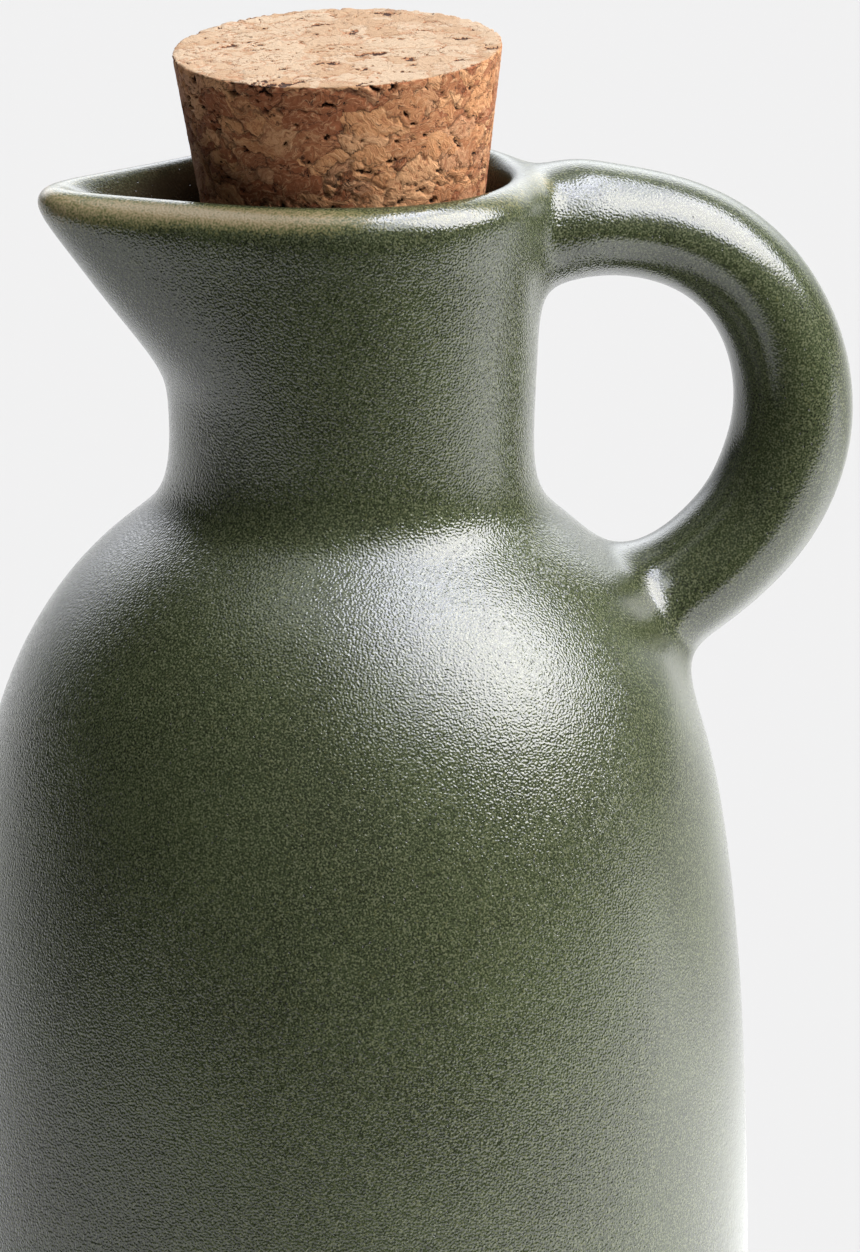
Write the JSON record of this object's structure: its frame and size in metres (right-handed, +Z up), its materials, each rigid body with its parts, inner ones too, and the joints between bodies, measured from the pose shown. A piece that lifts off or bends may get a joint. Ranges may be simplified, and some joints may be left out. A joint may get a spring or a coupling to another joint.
{
  "type": "stoneware oil bottle",
  "caption": "Glazed stoneware oil bottle with a pinched pouring lip and a side loop handle, shut by a tapered cork.",
  "frame": {"origin": "centre of the flat base, on the body's axis", "axes": "+Z up along the body's axis, -X towards the pouring lip, +X towards the handle"},
  "size_m": [0.1013, 0.0902, 0.1948],
  "materials": {
    "green_glaze": "satin olive green glaze, tan where it thins on the lip",
    "cork": "bare agglomerated cork granules"
  },
  "bodies": {
    "root": {"bottle": "green_glaze", "cork_stopper": "cork"}
  },
  "joints": []
}
